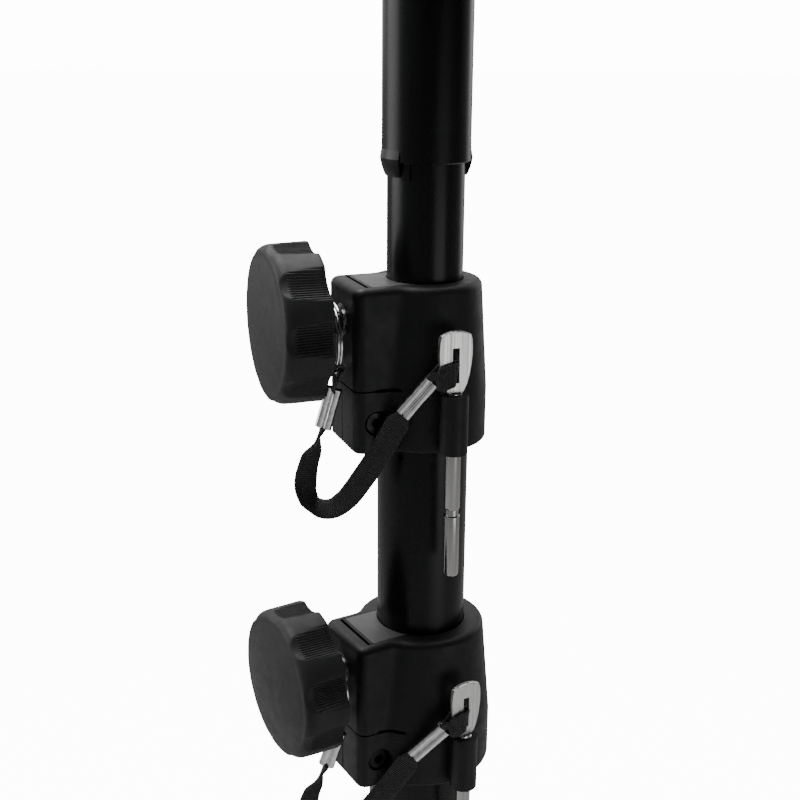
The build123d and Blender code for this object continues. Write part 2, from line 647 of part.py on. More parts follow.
pivot_bolts("leg_pivot_bolts", CROWN_PIVOT, EAR_INNER + EAR_THICKNESS)
pivot_bolts("brace_pivot_bolts", HUB_PIVOT, BAR_INNER + BAR_THICKNESS + GAP)

# --- legs and braces ------------------------------------------------------------------
def from_pivot(height, distance, rise):
    """The point of an upright plane at a distance from a pivot, up or down a strut."""
    return (
        PIVOT_OFFSET + distance * sin(LEG_ANGLE),
        height + rise * distance * cos(LEG_ANGLE),
    )


for number, heading in enumerate(LEG_HEADINGS, start=1):
    plane = upright(heading)
    pivot = plane.from_local_coords((PIVOT_OFFSET, CROWN_PIVOT, 0))
    down = plane.x_dir * sin(LEG_ANGLE) - plane.y_dir * cos(LEG_ANGLE)
    tube_end = LEG_LENGTH - 10

    with BuildPart() as head:
        with BuildSketch(plane):
            with Locations((PIVOT_OFFSET, CROWN_PIVOT)):
                Circle(EYE_RADIUS)
            with Locations(Location(from_pivot(CROWN_PIVOT, TUBE_START / 2, -1), -45)):
                Rectangle(TUBE_START, 2 * EYE_RADIUS)
        extrude(amount=EYE_HALF, both=True)
        with BuildSketch(Plane(pivot + down * (TUBE_START - 1), z_dir=down)):
            Circle(LEG_RADIUS - LEG_WALL)
        extrude(amount=33)
        with BuildSketch(plane):
            with Locations((PIVOT_OFFSET, CROWN_PIVOT)):
                Circle(PIVOT_RADIUS + RUN)
        extrude(amount=2 * EYE_HALF, both=True, mode=Mode.SUBTRACT)
    finish(head, f"leg_head_{number}")

    with BuildPart() as leg:
        with BuildSketch(Plane(pivot + down * TUBE_START, z_dir=down)):
            Circle(LEG_RADIUS)
            Circle(LEG_RADIUS - LEG_WALL, mode=Mode.SUBTRACT)
        extrude(amount=tube_end - TUBE_START)
    finish(leg, f"leg_tube_{number}")

    with BuildPart() as foot:
        with Locations(pivot + down * LEG_LENGTH):
            Sphere(FOOT_RADIUS)
        with BuildSketch(Plane(pivot + down * (LEG_LENGTH - 48), z_dir=down)):
            Circle(LEG_RADIUS + 2.5)
        extrude(amount=48)
        with BuildSketch(Plane(pivot + down * (LEG_LENGTH - 50), z_dir=down)):
            Circle(LEG_RADIUS)
        extrude(amount=40, mode=Mode.SUBTRACT)
        split(bisect_by=Plane.XY, keep=Keep.TOP)
    finish(foot, f"foot_{number}")

    middle = from_pivot(HUB_PIVOT, BRACE_LENGTH / 2, 1)
    joint = from_pivot(HUB_PIVOT, BRACE_LENGTH, 1)
    with BuildPart() as brace:
        for start in (BAR_INNER, -BAR_INNER - BAR_THICKNESS):
            with BuildSketch(plane.offset(start)):
                with Locations(Location(middle, 45)):
                    SlotCenterToCenter(BRACE_LENGTH, 2 * BAR_HALF)
                with Locations((PIVOT_OFFSET, HUB_PIVOT)):
                    Circle(PIVOT_RADIUS + RUN, mode=Mode.SUBTRACT)
                with Locations(joint):
                    Circle(PIVOT_RADIUS, mode=Mode.SUBTRACT)
            extrude(amount=BAR_THICKNESS)
    finish(brace, f"brace_{number}")

    with BuildPart() as rivets:
        for side in (1, -1):
            with BuildSketch(plane.offset(side * BAR_INNER)):
                with Locations(joint):
                    Circle(PIVOT_RADIUS)
            extrude(amount=side * (BAR_THICKNESS + 1))
            with BuildSketch(plane.offset(side * (BAR_INNER + BAR_THICKNESS))):
                with Locations(joint):
                    Circle(6)
            extrude(amount=side * 2.2)
    finish(rivets, f"brace_rivets_{number}")
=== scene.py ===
"""Looks for the speaker tripod stand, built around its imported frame.

Lengths are metres, and MM turns a millimetre into them. Each clamp has a frame of its
own, as in the part's source: x runs out along its knob's axis, y towards its lock pin,
and z = 0 is the collar's top.
"""

import json
from math import asin, cos, pi, radians, sin, sqrt

import bmesh
import bpy
from mathutils import Matrix, Vector
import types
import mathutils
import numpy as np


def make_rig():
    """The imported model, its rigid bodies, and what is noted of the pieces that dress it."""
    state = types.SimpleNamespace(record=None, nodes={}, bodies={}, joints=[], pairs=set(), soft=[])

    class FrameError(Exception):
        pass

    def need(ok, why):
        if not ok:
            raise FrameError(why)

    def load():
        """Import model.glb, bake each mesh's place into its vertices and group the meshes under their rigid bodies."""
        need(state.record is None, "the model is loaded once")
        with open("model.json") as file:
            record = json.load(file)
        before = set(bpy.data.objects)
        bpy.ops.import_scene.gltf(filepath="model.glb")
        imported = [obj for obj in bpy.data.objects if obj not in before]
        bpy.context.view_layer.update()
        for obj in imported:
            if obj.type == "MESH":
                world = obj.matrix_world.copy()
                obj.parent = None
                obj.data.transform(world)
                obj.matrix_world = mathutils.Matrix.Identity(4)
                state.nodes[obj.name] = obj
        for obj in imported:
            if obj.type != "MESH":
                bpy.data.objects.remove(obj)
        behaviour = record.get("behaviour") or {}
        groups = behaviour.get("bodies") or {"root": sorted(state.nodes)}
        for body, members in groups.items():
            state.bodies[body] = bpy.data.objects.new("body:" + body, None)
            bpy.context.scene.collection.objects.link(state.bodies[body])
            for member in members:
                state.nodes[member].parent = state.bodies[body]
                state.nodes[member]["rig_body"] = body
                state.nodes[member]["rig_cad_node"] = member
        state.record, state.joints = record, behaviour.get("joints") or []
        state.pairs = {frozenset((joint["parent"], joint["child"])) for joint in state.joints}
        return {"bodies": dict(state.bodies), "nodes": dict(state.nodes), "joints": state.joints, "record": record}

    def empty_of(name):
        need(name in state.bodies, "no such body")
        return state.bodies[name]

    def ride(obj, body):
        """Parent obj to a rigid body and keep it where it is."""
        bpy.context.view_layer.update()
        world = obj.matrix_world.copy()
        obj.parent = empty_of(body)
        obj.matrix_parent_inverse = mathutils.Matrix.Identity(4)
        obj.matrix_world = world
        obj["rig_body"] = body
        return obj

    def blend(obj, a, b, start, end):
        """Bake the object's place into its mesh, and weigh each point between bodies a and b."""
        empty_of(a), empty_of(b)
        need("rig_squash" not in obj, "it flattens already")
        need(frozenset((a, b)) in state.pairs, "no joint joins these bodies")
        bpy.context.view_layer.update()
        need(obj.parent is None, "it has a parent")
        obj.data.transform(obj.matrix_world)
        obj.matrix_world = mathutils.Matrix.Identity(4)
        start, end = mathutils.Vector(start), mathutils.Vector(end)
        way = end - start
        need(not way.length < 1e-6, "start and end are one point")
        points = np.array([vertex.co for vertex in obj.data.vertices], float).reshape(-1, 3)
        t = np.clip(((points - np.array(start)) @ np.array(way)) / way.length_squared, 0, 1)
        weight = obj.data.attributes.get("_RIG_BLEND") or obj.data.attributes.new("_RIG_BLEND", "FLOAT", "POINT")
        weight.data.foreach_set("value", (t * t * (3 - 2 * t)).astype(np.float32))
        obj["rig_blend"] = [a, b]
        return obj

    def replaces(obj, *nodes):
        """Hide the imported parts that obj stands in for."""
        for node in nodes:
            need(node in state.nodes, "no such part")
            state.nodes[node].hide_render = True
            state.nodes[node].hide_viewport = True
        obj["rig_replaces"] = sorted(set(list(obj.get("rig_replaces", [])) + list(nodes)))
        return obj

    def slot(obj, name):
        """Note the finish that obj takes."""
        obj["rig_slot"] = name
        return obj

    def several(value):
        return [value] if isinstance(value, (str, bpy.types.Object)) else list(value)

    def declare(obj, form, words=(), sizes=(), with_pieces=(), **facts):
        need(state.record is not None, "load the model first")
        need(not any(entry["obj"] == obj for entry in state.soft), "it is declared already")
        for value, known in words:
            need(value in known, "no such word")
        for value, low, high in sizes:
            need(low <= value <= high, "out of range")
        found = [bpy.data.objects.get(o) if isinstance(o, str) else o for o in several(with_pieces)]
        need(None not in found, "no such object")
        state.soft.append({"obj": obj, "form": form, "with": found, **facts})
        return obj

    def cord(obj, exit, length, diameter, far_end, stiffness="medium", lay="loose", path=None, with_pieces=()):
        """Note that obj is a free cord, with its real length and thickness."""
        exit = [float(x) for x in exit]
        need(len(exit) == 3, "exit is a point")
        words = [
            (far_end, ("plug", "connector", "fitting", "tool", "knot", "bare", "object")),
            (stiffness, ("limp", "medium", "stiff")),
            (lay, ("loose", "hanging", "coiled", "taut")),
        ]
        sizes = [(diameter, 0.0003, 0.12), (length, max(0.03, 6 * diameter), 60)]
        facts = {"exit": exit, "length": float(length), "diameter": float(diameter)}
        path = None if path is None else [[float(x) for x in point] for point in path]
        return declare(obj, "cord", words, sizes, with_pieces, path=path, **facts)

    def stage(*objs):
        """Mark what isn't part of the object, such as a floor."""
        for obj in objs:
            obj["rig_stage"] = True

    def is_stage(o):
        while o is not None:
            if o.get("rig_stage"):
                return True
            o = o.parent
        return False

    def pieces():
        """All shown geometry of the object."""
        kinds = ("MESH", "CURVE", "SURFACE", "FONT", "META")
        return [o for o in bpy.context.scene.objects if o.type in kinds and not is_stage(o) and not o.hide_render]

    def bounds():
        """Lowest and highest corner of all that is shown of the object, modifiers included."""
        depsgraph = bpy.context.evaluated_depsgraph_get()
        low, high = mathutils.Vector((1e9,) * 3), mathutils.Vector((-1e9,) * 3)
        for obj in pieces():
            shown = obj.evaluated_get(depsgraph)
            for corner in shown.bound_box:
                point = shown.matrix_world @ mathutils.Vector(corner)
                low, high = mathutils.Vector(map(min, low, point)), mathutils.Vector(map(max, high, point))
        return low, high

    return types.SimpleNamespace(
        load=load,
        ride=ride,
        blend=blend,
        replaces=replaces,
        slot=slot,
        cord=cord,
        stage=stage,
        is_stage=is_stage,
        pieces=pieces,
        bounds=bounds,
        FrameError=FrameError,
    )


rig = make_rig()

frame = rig.load()
cad_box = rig.bounds()
MM = 0.001
UP = Vector((0, 0, 1))
joints = {joint["name"]: joint for joint in frame["joints"]}

# --- camera ---------------------------------------------------------------------------
CAMERA_PLACE = (-0.0096, -0.4657, 1.2445)
CAMERA_PITCH = radians(17.37)  # down from level
CAMERA_ROLL = radians(0.41)
CAMERA_LENS = 52.8
SENSOR_WIDTH = 36
CLIP_NEAR, CLIP_FAR = 0.01, 100

camera_data = bpy.data.cameras.new("camera")
camera_data.lens = CAMERA_LENS
camera_data.sensor_width = SENSOR_WIDTH
camera_data.clip_start = CLIP_NEAR
camera_data.clip_end = CLIP_FAR
camera = bpy.data.objects.new("camera", camera_data)
camera.matrix_world = (
    Matrix.Translation(CAMERA_PLACE)
    @ Matrix.Rotation(pi / 2 - CAMERA_PITCH, 4, "X")
    @ Matrix.Rotation(CAMERA_ROLL, 4, "Z")
)
bpy.context.scene.collection.objects.link(camera)
bpy.context.scene.camera = camera


# --- mesh helpers ---------------------------------------------------------------------
def mesh_piece(name, verts, faces, body, slot, material, smooth=40):
    """A new mesh object that rides on a body."""
    mesh = bpy.data.meshes.new(name)
    mesh.from_pydata([tuple(v) for v in verts], [], faces)
    mesh.validate()
    work = bmesh.new()
    work.from_mesh(mesh)
    bmesh.ops.recalc_face_normals(work, faces=work.faces)
    work.to_mesh(mesh)
    work.free()
    piece = bpy.data.objects.new(name, mesh)
    bpy.context.scene.collection.objects.link(piece)
    mesh.shade_smooth()
    mesh.set_sharp_from_angle(angle=radians(smooth))
    mesh.materials.append(material)
    if body:
        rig.ride(piece, body)
    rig.slot(piece, slot)
    return piece


def tube_faces(rows, columns):
    """Quads of a grid of rows by columns, whose columns close into a ring."""
    return [
        (
            row * columns + column,
            row * columns + (column + 1) % columns,
            (row + 1) * columns + (column + 1) % columns,
            (row + 1) * columns + column,
        )
        for row in range(rows - 1)
        for column in range(columns)
    ]


def loft(name, rings, body, slot, material, smooth=40):
    """A closed piece through rings of equally many points, with both ends capped."""
    columns = len(rings[0])
    verts = [point for ring in rings for point in ring]
    faces = tube_faces(len(rings), columns)
    for ring, start in ((rings[0], 0), (rings[-1], (len(rings) - 1) * columns)):
        verts.append(sum(ring, Vector()) / columns)
        centre = len(verts) - 1
        faces += [(start + c, start + (c + 1) % columns, centre) for c in range(columns)]
    return mesh_piece(name, verts, faces, body, slot, material, smooth)


def smooth_min(a, b, width):
    """The smaller of two values, rounded where they are within a width of each other."""
    share = max(width - abs(a - b), 0) / width
    return min(a, b) - share * share * width / 4


def ease(value):
    """0 below 0, 1 above 1, and smooth between."""
    value = min(max(value, 0), 1)
    return value * value * (3 - 2 * value)


# --- materials ------------------------------------------------------------------------
RAMP_STOPS = (0.35, 0.65)  # the part of a noise texture's range that a ramp spreads out


def new_material(name):
    """An empty node material with its shader linked, and the two as (material, shader)."""
    material = bpy.data.materials.new(name)
    material.use_nodes = True
    nodes = material.node_tree.nodes
    nodes.clear()
    shader = nodes.new("ShaderNodeBsdfPrincipled")
    output = nodes.new("ShaderNodeOutputMaterial")
    material.node_tree.links.new(shader.outputs[0], output.inputs[0])
    return material, shader


def noise(material, scale, detail=3, stretch=(1, 1, 1)):
    """Noise in the object's own coordinates, stretched along some of them."""
    nodes, links = material.node_tree.nodes, material.node_tree.links
    place = nodes.new("ShaderNodeTexCoord")
    mapping = nodes.new("ShaderNodeMapping")
    mapping.inputs["Scale"].default_value = stretch
    texture = nodes.new("ShaderNodeTexNoise")
    texture.inputs["Scale"].default_value = scale
    texture.inputs["Detail"].default_value = detail
    links.new(place.outputs["Object"], mapping.inputs[0])
    links.new(mapping.outputs[0], texture.inputs["Vector"])
    return texture.outputs["Fac"]


def ramp(material, source, low, high):
    """Colours or grey levels between two ends of the middle of a texture's range."""
    node = material.node_tree.nodes.new("ShaderNodeValToRGB")
    for stop, place, value in zip(node.color_ramp.elements, RAMP_STOPS, (low, high)):
        stop.position = place
        stop.color = (*value, 1) if isinstance(value, tuple) else (value, value, value, 1)
    material.node_tree.links.new(source, node.inputs[0])
    return node.outputs[0]


def bump(material, shader, heights):
    """Chain bumps, each (height source, strength, distance in metres), onto the shader."""
    previous = None
    for source, strength, distance in heights:
        node = material.node_tree.nodes.new("ShaderNodeBump")
        node.inputs["Strength"].default_value = strength
        node.inputs["Distance"].default_value = distance
        material.node_tree.links.new(source, node.inputs["Height"])
        if previous:
            material.node_tree.links.new(previous, node.inputs["Normal"])
        previous = node.outputs[0]
    material.node_tree.links.new(previous, shader.inputs["Normal"])


def moulded(name, colour, rough, grain, depth, tint=0.12):
    """Moulded plastic: a fine even grain, faint flow marks and uneven gloss."""
    material, shader = new_material(name)
    links = material.node_tree.links
    low = tuple(c * (1 - tint) for c in colour)
    high = tuple(c * (1 + tint) for c in colour)
    links.new(ramp(material, noise(material, 60, 4), low, high), shader.inputs["Base Color"])
    uneven = ramp(material, noise(material, 140, 5), rough - 0.05, rough + 0.06)
    links.new(uneven, shader.inputs["Roughness"])
    fine = noise(material, grain, 2)
    flow = noise(material, 35, 2)
    bump(material, shader, [(flow, 0.25, 0.0006), (fine, 0.35, depth)])
    shader.inputs["Specular IOR Level"].default_value = 0.3
    return material


def coated(name, colour, rough, grain=1400):
    """Powder-coated tube: smooth satin with a slight orange peel and rubbed streaks."""
    material, shader = new_material(name)
    links = material.node_tree.links
    streaks = noise(material, 90, 3, (1, 1, 0.02))
    low = tuple(c * 0.8 for c in colour)
    high = tuple(c * 1.25 for c in colour)
    links.new(ramp(material, streaks, low, high), shader.inputs["Base Color"])
    rubbed = noise(material, 200, 4, (1, 1, 0.08))
    links.new(ramp(material, rubbed, rough - 0.03, rough + 0.05), shader.inputs["Roughness"])
    peel = noise(material, grain, 2)
    bump(material, shader, [(peel, 0.12, 0.00006)])
    shader.inputs["Specular IOR Level"].default_value = 0.28
    return material


def metal(name, colour, rough, stretch=(1, 1, 1), scale=700, depth=0.00003):
    """Bare or plated metal with drawn streaks along the way that isn't stretched."""
    material, shader = new_material(name)
    links = material.node_tree.links
    shader.inputs["Metallic"].default_value = 1
    streaks = noise(material, scale, 4, stretch)
    low = tuple(c * 0.78 for c in colour)
    links.new(ramp(material, streaks, low, colour), shader.inputs["Base Color"])
    links.new(ramp(material, streaks, rough * 0.7, rough * 1.4), shader.inputs["Roughness"])
    bump(material, shader, [(streaks, 0.5, depth)])
    return material


def woven(name, colour):
    """Black webbing: the yarns are in the mesh, so this adds fibre and a soft sheen."""
    material, shader = new_material(name)
    links = material.node_tree.links
    fibre = noise(material, 5000, 2)
    low = tuple(c * 0.55 for c in colour)
    high = tuple(c * 1.7 for c in colour)
    links.new(ramp(material, fibre, low, high), shader.inputs["Base Color"])
    links.new(ramp(material, noise(material, 900, 3), 0.62, 0.85), shader.inputs["Roughness"])
    bump(material, shader, [(fibre, 0.6, 0.00012)])
    shader.inputs["Sheen Weight"].default_value = 0.35
    shader.inputs["Sheen Roughness"].default_value = 0.5
    return material


TUBE_BLACK = coated("tube_black", (0.0028, 0.0028, 0.003), 0.28)
COLLAR_GREY = moulded("collar_grey", (0.0105, 0.0105, 0.011), 0.50, 2600, 0.00005)
KNOB_GREY = moulded("knob_grey", (0.022, 0.022, 0.0235), 0.55, 3000, 0.00005)
BLOCK_GREY = moulded("block_grey", (0.084, 0.084, 0.085), 0.42, 2600, 0.00004)
NYLON = moulded("nylon", (0.55, 0.55, 0.52), 0.40, 1800, 0.00004, 0.04)
BLACK_STEEL = metal("black_steel", (0.028, 0.028, 0.03), 0.42)
NICKEL = metal("nickel", (0.78, 0.775, 0.76), 0.36, (1, 1, 0.012), 1300)
BRIGHT = metal("bright", (0.93, 0.93, 0.92), 0.19, (1, 1, 1), 500, 0.000008)
TURNED = metal("turned", (0.46, 0.455, 0.445), 0.17, (1, 1, 0.012), 1300)
ZINC = metal("zinc", (0.60, 0.60, 0.58), 0.34, (1, 1, 1), 900)
WEBBING = woven("webbing", (0.010, 0.010, 0.011))
RUBBER = moulded("rubber", (0.022, 0.022, 0.022), 0.72, 1500, 0.00012, 0.2)

SLOTS = {
    "black_tube": TUBE_BLACK,
    "collar_plastic": COLLAR_GREY,
    "knob_plastic": KNOB_GREY,
    "block_plastic": BLOCK_GREY,
    "bush_nylon": NYLON,
    "black_steel": BLACK_STEEL,
    "nickel": NICKEL,
    "bright_steel": BRIGHT,
    "zinc": ZINC,
    "webbing": WEBBING,
    "rubber": RUBBER,
}
for subpart in frame["record"]["subparts"]:
    node = frame["nodes"][subpart["node"]]
    finish = SLOTS[subpart["material_slot"]]
    if not node.data.materials:
        node.data.materials.append(finish)
    for index in range(len(node.material_slots)):
        node.material_slots[index].link = "OBJECT"
        node.material_slots[index].material = finish

# --- clamps ---------------------------------------------------------------------------
KNOB_DROP = 14.7 * MM  # from the collar's top to its knob's axis
BOSS_REACH = 20.1 * MM  # from the collar's bore to its boss's end face
BORES = {"upper": 15.4 * MM, "lower": 19.0 * MM, "crown": 22.5 * MM}
# the turn of each knob's first lobe from level, as it stands in its rest pose
FIRST_LOBES = {"upper": radians(100.4), "lower": radians(115.0), "crown": radians(100.4)}
KNOB_RADIUS = 31.5 * MM
KNOB_BACK = 12.4 * MM  # from the boss's end face to the knob's back
KNOB_SIDE = 18.9 * MM
KNOB_TAPER = 0.4 * MM  # how much smaller the side is at its face end
CREASE_RADIUS = 28.0 * MM
ROUNDING = 4.5 * MM  # length of the round between the knob's side and its face
DOME = 2.6 * MM
BACK_ROUND = 0.3 * MM
NECK_RADIUS = 5.8 * MM
LOBES = 9
RIBS_PER_LOBE = 20  # rib pitches in one lobe's arc, most of them inside its flute
RIB_SAMPLES = 7
FLUTE_DEPTH = 2.7 * MM
FLUTE_RADIUS = 14.0 * MM
FLUTE_LENGTH = 18.9 * MM
RIB_DEPTH = 0.38 * MM
RIB_REACH = 7.4 * MM  # half the width of a flute's ribbed part
RIB_SINK = 0.25  # the share of the ribs' depth that lies below the flute's own surface
LIP_ROUND = 0.45 * MM  # along the edges of a flute
BACK_DISH = 1.2 * MM
SIDE_ROWS, FACE_ROWS = 44, 16


class Clamp:
    """A clamp's frame, read from its knob's joint."""

    def __init__(self, prefix):
        turn = joints[f"{prefix}_knob_turn"]
        self.prefix = prefix
        self.out = Vector(turn["axis"]).normalized()
        self.side = UP.cross(self.out)
        self.top = Vector(turn["pos_m"]) + UP * KNOB_DROP
        self.reach = BORES[prefix] + BOSS_REACH

    def at(self, x, y, z):
        """The row-frame point of a point in the clamp's frame, both in metres."""
        return self.top + self.out * x + self.side * y + UP * z


CLAMPS = {prefix: Clamp(prefix) for prefix in BORES}


def knob_side_radius(depth):
    """The knob's radius between its flutes, at a depth from its back."""
    if depth < BACK_ROUND:
        share = 1 - depth / BACK_ROUND
        return KNOB_RADIUS - BACK_ROUND * (1 - sqrt(1 - share * share))
    start = KNOB_SIDE - ROUNDING
    taper = KNOB_TAPER * depth / KNOB_SIDE
    if depth < start:
        return KNOB_RADIUS - taper
    share = (depth - start) / ROUNDING
    drop = KNOB_RADIUS - taper - CREASE_RADIUS
    return CREASE_RADIUS + drop * sqrt(max(0, 1 - share * share))


def knob_radius(depth, angle):
    """The knob's radius with its ribbed flutes; angle 0 is the middle of a flute."""
    plain = knob_side_radius(depth)
    run_out = min(depth / FLUTE_LENGTH, 1.2)
    flute_depth = FLUTE_DEPTH * (1 - 0.45 * run_out - 0.55 * run_out**9)
    centre = plain - flute_depth + FLUTE_RADIUS
    reach = centre * sin(angle)
    if abs(reach) >= FLUTE_RADIUS:
        return plain
    cut = centre * cos(angle) - sqrt(FLUTE_RADIUS**2 - reach * reach)
    arc = plain * angle
    pitch = 2 * pi * KNOB_RADIUS / LOBES / RIBS_PER_LOBE
    rib = 0.5 - 0.5 * cos(2 * pi * arc / pitch)
    across = ease((RIB_REACH * (0.5 + 0.5 * flute_depth / FLUTE_DEPTH) - abs(arc)) / (0.6 * MM))
    along = ease((FLUTE_LENGTH * 0.84 - depth) / (1.2 * MM)) * ease(depth / (0.8 * MM))
    return smooth_min(plain, cut, LIP_ROUND) + RIB_DEPTH * (rib - RIB_SINK) * across * along


def knob(clamp):
    """Star knob: neck, flat back, nine ribbed flutes, creased rim and a shallow dome."""
    columns = LOBES * RIBS_PER_LOBE * RIB_SAMPLES
    back = clamp.reach + KNOB_BACK
    first = FIRST_LOBES[clamp.prefix] + pi / LOBES
    spans = []
    for x, wider in ((0.8 * MM, -0.6), (1.3 * MM, 0)):
        spans.append((clamp.reach + x, NECK_RADIUS + wider * MM, 0))
    for gap, wider in ((0.9, 0), (0.4, 0.3), (0.05, 1.1)):
        spans.append((back - gap * MM, NECK_RADIUS + wider * MM, 0))
    for share in (0.34, 0.5, 0.7, 0.85, 0.93):
        dish = BACK_DISH if 0.4 < share < 0.9 else 0
        spans.append((back + dish, share * KNOB_RADIUS, share))
    for row in range(SIDE_ROWS + 1):
        share = row / SIDE_ROWS
        depth = KNOB_SIDE * (0.5 * share + 0.5 * sin(share * pi / 2))
        spans.append((back + depth, None, depth))
    for row in range(FACE_ROWS):
        radius = CREASE_RADIUS * (1 - 0.012 - row / FACE_ROWS)
        rise = DOME * (1 - (radius / CREASE_RADIUS) ** 2) - 0.12 * MM * (row == 0)
        spans.append((back + KNOB_SIDE + rise, radius, 0))
    rings = []
    for x, radius, extra in spans:
        ring = []
        for column in range(columns):
            turn = 2 * pi * column / columns
            local = (turn + pi / LOBES) % (2 * pi / LOBES) - pi / LOBES
            if radius is None:
                length = knob_radius(extra, local)
            elif extra:
                plain = knob_radius(BACK_ROUND, local)
                length = radius * (1 - extra) + plain * extra * extra
            else:
                length = radius
            angle = turn + first
            spoke = clamp.side * cos(angle) + UP * sin(angle)
            ring.append(clamp.at(x, 0, -KNOB_DROP) + spoke * length)
        rings.append(ring)
    name = f"{clamp.prefix}_knob_star"
    piece = loft(name, rings, f"{clamp.prefix}_knob", "knob_plastic", KNOB_GREY, 35)
    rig.replaces(piece, f"{clamp.prefix}_clamp_knob")


for clamp in CLAMPS.values():
    knob(clamp)

# --- lanyards -------------------------------------------------------------------------
STRAP_WIDTH = 9.5 * MM
STRAP_THICKNESS = 1.15 * MM
YARN_PITCH = 0.92 * MM
YARN_HEIGHT = 0.21 * MM
SELVEDGE_START = 0.86  # share of the half width, beyond which the yarns lie flatter
SELVEDGE_SWAY = 0.03 * MM
ROW_STEP = 0.1 * MM
BAND_COLUMNS = 28
FACING = Vector((0, -1, 0.3)).normalized()  # the way the strap's broad stretch faces
PIN_OFFSETS = {"upper": 31.5 * MM, "lower": 37.0 * MM}
PIN_CLEARS = {"upper": 2.5 * MM, "lower": 4.0 * MM}
STRAP_LENGTHS = {"upper": 0.0962, "lower": 0.1008}
RING_STAND_OFF = 5.5 * MM
RING_RADIUS = 14.1 * MM
RING_WIRE = 1.8 * MM
RING_GAP = 0.3 * MM  # between the knob's neck and the ring that hangs on it
COIL_PITCH = 1.25 * MM  # between the two turns of a split ring
COIL_TURNS, COIL_STEPS, COIL_CORNERS = 2.08, 320, 16
COIL_HALF_WIDTH, COIL_HALF_HEIGHT = 0.50 * MM, 0.74 * MM
COIL_START = radians(52)
FERRULE_RADIUS = 1.8 * MM  # of each of its two barrels
FERRULE_OFFSET = 1.66 * MM  # of a barrel's axis from the ferrule's own
FERRULE_WALL = 0.3 * MM
FERRULE_COLUMNS = 56
FERRULE_FLARE = 0.05 * MM
CREASE_SHARE = 0.985  # how near to touching the two barrels' outlines meet
# fraction of the way from the ring to the pin, and height in millimetres
STRAP_ROUTE = [
    (-0.121, -56.8), (-0.204, -65.5), (-0.277, -75.0), (-0.299, -84.5), (-0.231, -90.8),
    (-0.077, -92.6), (0.084, -87.5), (0.220, -78.5), (0.347, -69.2), (0.477, -59.0),
    (0.594, -48.9),
]
RING_FERRULE_TOP = (-0.018, -40.2)
PIN_FERRULE_TOP = (0.843, -34.7)
# the strap's twist away from facing, in degrees, at fractions of its length
STRAP_TWIST = [
    (0.0, -108), (0.045, -91), (0.15, -42), (0.27, -22), (0.335, -36), (0.375, -50), (0.43, -38),
    (0.50, -26), (0.60, -12), (0.70, -3), (1.0, 0),
]


def spline_points(controls, name):
    """A NURBS curve through a cord's given points, and the points it follows."""
    data = bpy.data.curves.new(name, "CURVE")
    data.dimensions = "3D"
    spline = data.splines.new("NURBS")
    spline.points.add(len(controls) - 1)
    for point, control in zip(spline.points, controls):
        point.co = (*control, 1)
    spline.order_u = 3
    spline.use_endpoint_u = True
    spline.resolution_u = 48
    curve = bpy.data.objects.new(name, data)
    bpy.context.scene.collection.objects.link(curve)
    line = bpy.data.meshes.new_from_object(curve)
    points = [vertex.co.copy() for vertex in line.vertices]
    bpy.data.objects.remove(curve)
    bpy.data.meshes.remove(line)
    return points


def evenly(points, step):
    """Points a step apart along a line, with their shares of its length."""
    marks = [0]
    for a, b in zip(points, points[1:]):
        marks.append(marks[-1] + (b - a).length)
    count = max(2, round(marks[-1] / step))
    found = []
    index = 0
    for k in range(count + 1):
        mark = marks[-1] * k / count
        while index < len(marks) - 2 and marks[index + 1] < mark:
            index += 1
        share = (mark - marks[index]) / max(marks[index + 1] - marks[index], 1e-12)
        found.append((points[index].lerp(points[index + 1], share), k / count))
    return found, marks[-1]


def between(table, share):
    """The eased value of a table of (share, value) at a share."""
    for (start, low), (end, high) in zip(table, table[1:]):
        if share <= end:
            return low + (high - low) * ease((share - start) / (end - start))
    return table[-1][1]


def signed_power(value, power):
    """A value's size to a power, with its sign kept: below 1 it squares off a circle."""
    return abs(value) ** power * (1 if value > 0 else -1)


def band(name, points, width_way, width, thick, body):
    """Webbing along a line: cross yarns as ridges, a selvedge along both edges."""
    marks, length = evenly(points, ROW_STEP)
    rings = []
    for index, (place, share) in enumerate(marks):
        before = marks[max(index - 1, 0)][0]
        after = marks[min(index + 1, len(marks) - 1)][0]
        along = (after - before).normalized()
        way = width_way(place, along, share)
        way = (way - along * way.dot(along)).normalized()
        normal = along.cross(way)
        half = width(share) / 2
        depth = thick(share) / 2
        yarn = 0.5 + 0.5 * cos(2 * pi * share * length / YARN_PITCH)
        ring = []
        for step in range(BAND_COLUMNS):
            turn = 2 * pi * (step + 0.5) / BAND_COLUMNS
            across = signed_power(cos(turn), 0.55)
            up = signed_power(sin(turn), 0.35)
            ridge = YARN_HEIGHT * yarn * (1 if abs(across) < SELVEDGE_START else 0.4)
            reach = half + SELVEDGE_SWAY * (yarn - 0.5)
            rise = depth - YARN_HEIGHT + ridge
            ring.append(place + way * reach * across + normal * rise * up)
        rings.append(ring)
    return loft(name, rings, body, "webbing", WEBBING, 60)


class Lanyard:
    """Where one clamp's ring, strap, ferrules and stored pin are."""

    def __init__(self, clamp):
        self.clamp = clamp
        prefix = clamp.prefix
        self.ring_x = clamp.reach + RING_STAND_OFF
        self.ring_z = -KNOB_DROP + NECK_RADIUS + RING_GAP - RING_RADIUS + RING_WIRE / 2
        self.pin_y = PIN_OFFSETS[prefix]
        self.ring_end = Vector((self.ring_x, 9 * MM, 0))
        self.pin_end = Vector((3 * MM, self.pin_y + PIN_CLEARS[prefix], 0))
        self.level = clamp.at(*self.pin_end) - clamp.at(*self.ring_end)

    def place(self, point):
        """A point of the strap's upright plane: fraction along, height in millimetres."""
        along, height = point
        level = self.ring_end.lerp(self.pin_end, along)
        return self.clamp.at(level.x, level.y, height * MM)


